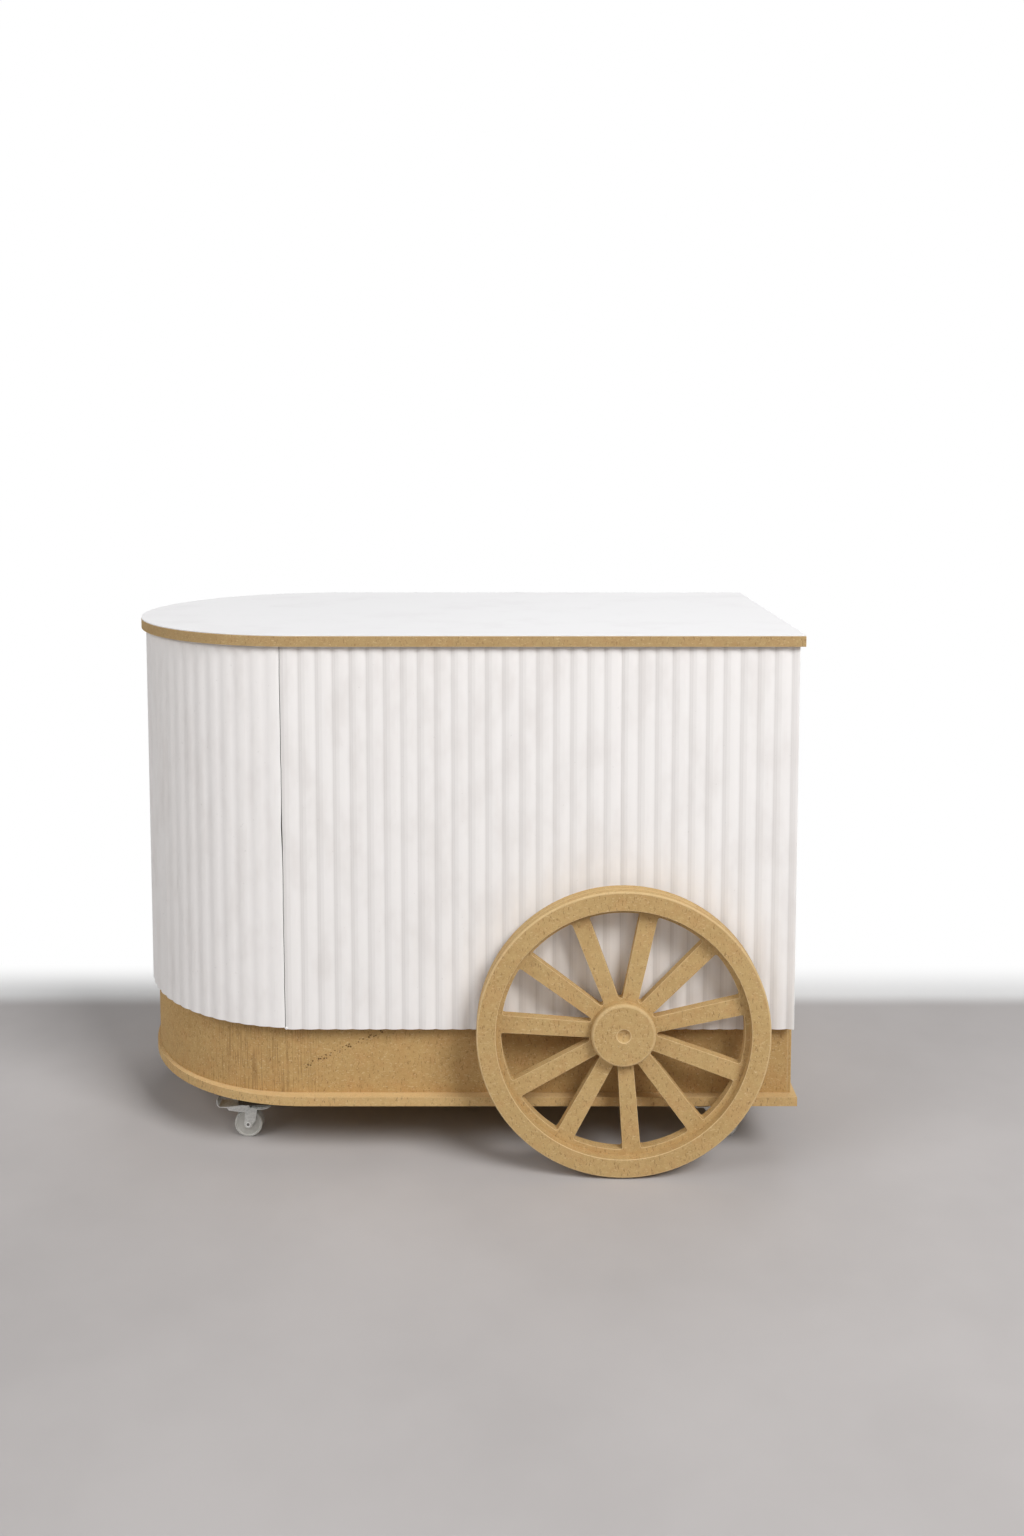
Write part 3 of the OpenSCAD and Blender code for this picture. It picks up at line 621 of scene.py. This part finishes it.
def fluteSheet(node, depthOf, outward, leftShade, follow=False, drop=0.0):
    v = flutes
    bm = mergedCopy(node)
    edgeLayer = bm.faces.layers.float.new("edge")
    low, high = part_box(node)
    for width, least, most in ((v["end"], 0.0, v["levelWithin"]), (v["arris"], v["longFrom"], high[2])):
        edges = [e for e in sharpEdges(bm, v["squareFrom"])
                 if least <= abs(e.verts[0].co.z - e.verts[1].co.z) < most]
        takeOff(bm, edges, width, 2, edgeLayer)
    for k in range(1, v["levels"]):
        z = low[2] + (high[2] - low[2]) * k / v["levels"]
        bmesh.ops.bisect_plane(bm, geom=bm.verts[:] + bm.edges[:] + bm.faces[:], dist=1e-6,
                               plane_co=(0, 0, z), plane_no=(0, 0, 1))
    grooveLayer = bm.verts.layers.float.new("groove")
    grooveDepths(bm, depthOf, grooveLayer)
    paintLeftShade(bm, outward, leftShade, bm.faces.layers.float.new("leftShade"))
    jointLayer = bm.faces.layers.float.new("joint")
    top, foot = high[2], low[2]
    if follow:
        for face in bm.faces:
            near = abs(face.calc_center_median().x - v["joint"]) < v["jointReach"]
            face[jointLayer] = 1.0 if near and abs(face.normal.x) > 0.95 and face.normal.y < 0.1 else 0.0
    for vert in bm.verts:
        t = (top - vert.co.z) / (top - foot)
        if drop:
            vert.co.z -= drop * t ** v["dropPower"]
        if follow:
            nearness = 1 - min(1.0, abs(vert.co.x - v["joint"]) / v["jointReach"])
            if nearness > 0 and vert.co.y < 0:
                slow, quick = (vert.co.z * waves for waves in v["wanderWaves"])
                wander = noise.noise((0, 0, slow)) + 0.5 * noise.noise((3, 0, quick))
                gape = v["gape"] * math.exp(-((vert.co.z - v["gapeAt"]) / v["gapeReach"]) ** 2)
                move = v["jointShift"] + t * v["jointLean"] + wander * v["jointWander"]
                move += math.copysign(gape, vert.co.x - v["joint"])
                vert.co.x += move * min(1.0, nearness * v["jointEase"])
    if drop:
        addDab(bm, v, low, edgeLayer)
    return pieceFrom(bm, node + "_painted", node, finishes["painted_flutes"], v["crispFrom"])


curvedLow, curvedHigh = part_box("fluted_sheet_curved")
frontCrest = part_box("fluted_sheet_front")[0][1]
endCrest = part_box("fluted_sheet_end")[1][0]
crestRadius = (curvedHigh[1] - curvedLow[1]) / 2
arcMiddle = Vector((curvedLow[0] + crestRadius, (curvedHigh[1] + curvedLow[1]) / 2, 0))


# Straight out from the round end's middle line, and straight back or forward where the sheet runs on flat
def roundOutward(co):
    if co.x > arcMiddle.x:
        return Vector((0, math.copysign(1, co.y - arcMiddle.y), 0))
    return Vector((co.x - arcMiddle.x, co.y - arcMiddle.y, 0)).normalized()


fluteSheet("fluted_sheet_curved", lambda co: crestRadius - (co - arcMiddle).xy.length, roundOutward,
           flutes["leftShadeRound"], follow=True)
fluteSheet("fluted_sheet_front", lambda co: co.y - frontCrest, lambda co: Vector((0, -1, 0)),
           flutes["leftShadeFlat"], follow=True, drop=flutes["drop"])
fluteSheet("fluted_sheet_end", lambda co: endCrest - co.x, lambda co: Vector((1, 0, 0)),
           flutes["leftShadeFlat"])
print("fluted sheets painted")


# Show wheel: two layers of board, rounded over in front and broken at every other edge

showWheel = {
    "cut": 0.0010,
    "bushCut": 0.0004,
    "spokeRound": (0.0016, 3, 1.0),    # width, segments, strength of its painted highlight
    "rimRound": (0.0030, 5, 0.7),
    "hubRound": (0.0048, 5, 0.5),
    "onRing": 3e-4,            # metres within which a point counts as on a ring
    "bowlReach": 0.35,         # of the hub's radius, wider than the dimple and inside the hub
    "bowlDeep": 0.0050,
    "bowlPower": 3.2,          # 1 is a cone, and more is a flatter floor with steeper sides
    "bowlRings": 7,
}


# Turns the dimple's cone in the hub's front into a smooth bowl
def sinkBowl(bm, middle, front, reach, v):
    def away(vert):
        return math.hypot(vert.co.x - middle.x, vert.co.z - middle.z)

    old = [f for f in bm.faces if all(away(p) < reach for p in f.verts)
           and f.normal.y < -0.3 and any(p.co.y > front + 1e-5 for p in f.verts)]
    bmesh.ops.delete(bm, geom=old, context="FACES")
    mouth = [e for e in bm.edges if e.is_boundary]
    ring = sorted({p for e in mouth for p in e.verts},
                  key=lambda p: math.atan2(p.co.z - middle.z, p.co.x - middle.x))
    count = len(ring)
    outer = ring
    for k in range(1, v["bowlRings"]):
        size = 1 - k / v["bowlRings"]
        y = front + v["bowlDeep"] * (1 - size ** v["bowlPower"])
        inner = [bm.verts.new((middle.x + (p.co.x - middle.x) * size, y,
                               middle.z + (p.co.z - middle.z) * size)) for p in ring]
        for i in range(count):
            bm.faces.new((outer[i], outer[(i + 1) % count], inner[(i + 1) % count], inner[i]))
        outer = inner
    floor = bm.verts.new((middle.x, front + v["bowlDeep"], middle.z))
    for i in range(count):
        bm.faces.new((outer[i], outer[(i + 1) % count], floor))
    bmesh.ops.recalc_face_normals(bm, faces=bm.faces[:])


def wheelPieces(v):
    ringLow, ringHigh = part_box("wheel_rim_ring")
    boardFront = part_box("wheel_spoke_board")[0][1]
    hubLow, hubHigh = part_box("wheel_hub_disc")
    front = ringLow[1]
    middle = Vector(((ringLow[0] + ringHigh[0]) / 2, 0, (ringLow[2] + ringHigh[2]) / 2))
    rimRadius = (ringHigh[0] - ringLow[0]) / 2
    hubRadius = (hubHigh[0] - hubLow[0]) / 2

    def frontAt(radius):
        def chosen(edge):
            reach = [math.hypot(p.co.x - middle.x, p.co.z - middle.z) for p in edge.verts]
            return allAt(1, front)(edge) and all(abs(r - radius) < v["onRing"] for r in reach)
        return chosen

    softened("wheel_rim_ring", v["cut"], rounds=[(*v["rimRound"], frontAt(rimRadius))])
    softened("wheel_hub_disc", v["cut"], rounds=[(*v["hubRound"], frontAt(hubRadius))],
             prepare=lambda bm, layer: sinkBowl(bm, middle, front, hubRadius * v["bowlReach"], v))
    softened("wheel_spoke_board", v["cut"], rounds=[(*v["spokeRound"], allAt(1, boardFront))])
    softened("wheel_bush", v["bushCut"])


wheelPieces(showWheel)
print("show wheel made")


# Fasteners and castors

metalEdges = {
    "sheet": 0.0004,
    "bolt": 0.0006,
    "rivet": 0.0005,
    "tread": 0.0004,
    "flushHead": 0.0002,
    "panHead": (0.0011, 4, 0.3),       # width, segments, strength of its painted highlight
    "plateCorner": (0.004, 5, 0.2),
}
treadDeep = 0.0022    # how far the dirt reaches in from a castor wheel's rim
crossRecess = {"arm": 0.0019, "halfWidth": 0.00045, "deep": 0.0013, "floorSize": 0.55}
rivetDimple = {"rim": 0.0013, "wall": 0.0003, "deep": 0.0005}


# Cuts a cross for the driver into a screw's flat head, its faces marked for painted shade
def cutCross(bm, face, layer, v):
    centre, normal = face.calc_center_median(), face.normal.copy()
    side = Vector((1, 0, 0))
    other = normal.cross(side)
    rim = face.edges[:]
    bmesh.ops.delete(bm, geom=[face], context="FACES_ONLY")
    a, w = v["arm"], v["halfWidth"]
    plan = ((w, w), (w, a), (-w, a), (-w, w), (-a, w), (-a, -w),
            (-w, -w), (-w, -a), (w, -a), (w, -w), (a, -w), (a, w))

    def ring(size, sunk):
        return [bm.verts.new(centre + (side * x + other * y) * size - normal * sunk) for x, y in plan]

    mouth, floor = ring(1.0, 0.0), ring(v["floorSize"], v["deep"])
    count = len(plan)
    lips = [bm.edges.new((mouth[i], mouth[(i + 1) % count])) for i in range(count)]
    bmesh.ops.triangle_fill(bm, use_beauty=True, edges=rim + lips)
    sunk = [bm.faces.new((mouth[i], mouth[(i + 1) % count], floor[(i + 1) % count], floor[i]))
            for i in range(count)]
    sunk.append(bm.faces.new(floor))
    for made in sunk:
        made[layer] = 1.0


def crossedHeads(bm):
    layer = bm.faces.layers.float.new("recess")
    foot = min(v.co.z for v in bm.verts)
    heads = [f for f in bm.faces if f.normal.z < -0.99 and abs(f.calc_center_median().z - foot) < 1e-5]
    for head in heads:
        cutCross(bm, head, layer, crossRecess)
    bmesh.ops.recalc_face_normals(bm, faces=bm.faces[:])


# Sinks a shallow dimple into each end of a castor's rivet axle, its floor marked for painted shade
def dimpledEnds(bm, layer):
    recess = bm.faces.layers.float.new("recess")
    places = [v.co.y for v in bm.verts]
    ends = [f for f in bm.faces if abs(f.normal.y) > 0.99
            and min(abs(f.calc_center_median().y - y) for y in (min(places), max(places))) < 1e-5]
    v = rivetDimple
    bmesh.ops.inset_individual(bm, faces=ends, thickness=v["rim"], depth=0.0, use_even_offset=True)
    bmesh.ops.inset_individual(bm, faces=ends, thickness=v["wall"], depth=-v["deep"], use_even_offset=True)
    for face in ends:
        face[recess] = 1.0


def markTread(bm):
    layer = bm.verts.layers.float.new("tread")
    xs = [v.co.x for v in bm.verts]
    zs = [v.co.z for v in bm.verts]
    middleX, middleZ = (min(xs) + max(xs)) / 2, (min(zs) + max(zs)) / 2
    radius = (max(zs) - min(zs)) / 2
    for vert in bm.verts:
        reach = math.hypot(vert.co.x - middleX, vert.co.z - middleZ)
        vert[layer] = 1.0 if reach > radius - treadDeep else 0.0


def plateCorner(low, high):
    def chosen(edge):
        first, second = edge.verts[0].co, edge.verts[1].co
        atSide = min(abs(first.x - low[0]), abs(first.x - high[0])) < onPlane
        atEnd = min(abs(first.y - low[1]), abs(first.y - high[1])) < onPlane
        return atSide and atEnd and (first - second).xy.length < 1e-5
    return chosen


for node in ("axle_bolt", "axle_nut", "axle_washers"):
    softened(node, metalEdges["bolt"])
softened("castor_kingpins", metalEdges["rivet"])
softened("castor_screws", metalEdges["rivet"], change=crossedHeads, material=shadedZinc,
         rounds=[(*metalEdges["panHead"], allAt(2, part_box("castor_screws")[0][2]))])
softened("base_screws", metalEdges["flushHead"], change=crossedHeads)
for corner in corners:
    plateLow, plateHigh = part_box("castor_plate_" + corner)
    softened("castor_plate_" + corner, metalEdges["sheet"], material=shadedZinc,
             rounds=[(*metalEdges["plateCorner"], plateCorner(plateLow, plateHigh))])
    softened("castor_fork_" + corner, metalEdges["sheet"])
    softened("castor_axle_" + corner, metalEdges["rivet"], prepare=dimpledEnds, material=highlightZinc)
    softened("castor_wheel_" + corner, metalEdges["tread"], change=markTread)
for corner in corners[:2]:
    softened("brake_pedal_" + corner, metalEdges["sheet"])
print("castors and fasteners made")

for node, piece in frame["nodes"].items():
    for slot in piece.material_slots:
        slot.material = finishes[nodeSlot[node]]


# Studio: a pale floor that turns white behind the cart, a white world, soft lamps

studio = {
    "floorSize": 40.0,
    "floorGrey": screen(194, 190, 189),
    "floorCloud": screen(180, 176, 175),
    "floorWhite": screen(240, 240, 240),
    "cloudSize": 0.5, "cloudRange": (0.3, 0.7), "cloudShow": 0.5,
    "turnsWhiteFrom": 0.36, "turnsWhiteTo": 0.44,    # along y, behind the cart
    "meltsFrom": 0.40, "meltsTo": 0.62,              # along y, into the white world
    "fadesFrom": 1.6, "fadesTo": 4.2,                # away from the cart, into the white world
    "worldOnObject": 0.05,
    "worldSeen": 1.0,
    "aim": (0.1, 0.0, 0.45),
    "lampDistance": 8.0,
}

# Turn is in degrees to the right of straight in front of the cart, and rise in degrees above the floor
lamps = {
    "key": {"turn": 38, "rise": 40, "size": 3.2, "power": 491.0},
    "front": {"turn": 0, "rise": 32, "size": 3.5, "power": 38.0},
    "left": {"turn": -50, "rise": 35, "size": 4.0, "power": 172.0},
    "leftSide": {"turn": -80, "rise": 25, "size": 4.0, "power": 64.0},
    "back": {"turn": 160, "rise": 50, "size": 5.0, "power": 155.0},
}


def makeFloor(v):
    bm = bmesh.new()
    bmesh.ops.create_grid(bm, x_segments=8, y_segments=8, size=v["floorSize"] / 2)
    mesh = bpy.data.meshes.new("floor")
    bm.to_mesh(mesh)
    bm.free()
    floor = bpy.data.objects.new("floor", mesh)
    bpy.context.scene.collection.objects.link(floor)
    make = Finish("floor")
    x, y, z = make.axes()
    white = make.rise(y, v["turnsWhiteFrom"], v["turnsWhiteTo"])
    cloud = make.rise(make.grain(v["cloudSize"], 4, 0.6), *v["cloudRange"])
    grey = make.blend(cloud * v["cloudShow"], v["floorGrey"], v["floorCloud"])
    ground = make.add("ShaderNodeBsdfDiffuse", None, {"Color": make.blend(white, grey, v["floorWhite"])})
    glow = make.add("ShaderNodeEmission", None, {"Color": (1, 1, 1, 1), "Strength": v["worldSeen"]})
    distance = make.rise(x * x + y * y, v["fadesFrom"] ** 2, v["fadesTo"] ** 2)
    distance = distance.maths("MAXIMUM", distance, make.rise(y, v["meltsFrom"], v["meltsTo"]))
    seen = make.add("ShaderNodeLightPath", out="Is Camera Ray")
    make.end(make.add("ShaderNodeMixShader", None,
                      {"Fac": distance * seen, "Shader": ground, "Shader_001": glow}))
    mesh.materials.append(make.material)


def makeWorld(v):
    world = bpy.data.worlds.new("studio")
    world.use_nodes = True
    bpy.context.scene.world = world
    tree = world.node_tree
    background = tree.nodes["Background"]
    background.inputs["Color"].default_value = (1, 1, 1, 1)
    path = tree.nodes.new("ShaderNodeLightPath")
    seen = Wire(tree, path.outputs["Is Camera Ray"])
    for other in ("Is Glossy Ray", "Is Transmission Ray"):
        seen = seen.maths("MAXIMUM", seen, Wire(tree, path.outputs[other]))
    strength = seen * (v["worldSeen"] - v["worldOnObject"]) + v["worldOnObject"]
    tree.links.new(strength.socket, background.inputs["Strength"])


def softLamp(name, lamp, v):
    data = bpy.data.lights.new(name, "AREA")
    data.shape = "SQUARE"
    data.size = lamp["size"]
    data.energy = lamp["power"]
    turn, rise = math.radians(lamp["turn"]), math.radians(lamp["rise"])
    away = Vector((math.sin(turn) * math.cos(rise), -math.cos(turn) * math.cos(rise), math.sin(rise)))
    piece = bpy.data.objects.new(name, data)
    piece.location = Vector(v["aim"]) + away * v["lampDistance"]
    piece.rotation_euler = away.to_track_quat("Z", "Y").to_euler()
    bpy.context.scene.collection.objects.link(piece)


makeFloor(studio)
makeWorld(studio)
for name, lamp in lamps.items():
    softLamp(name, lamp, studio)
bpy.context.scene.view_settings.view_transform = "Standard"
print("studio lit")
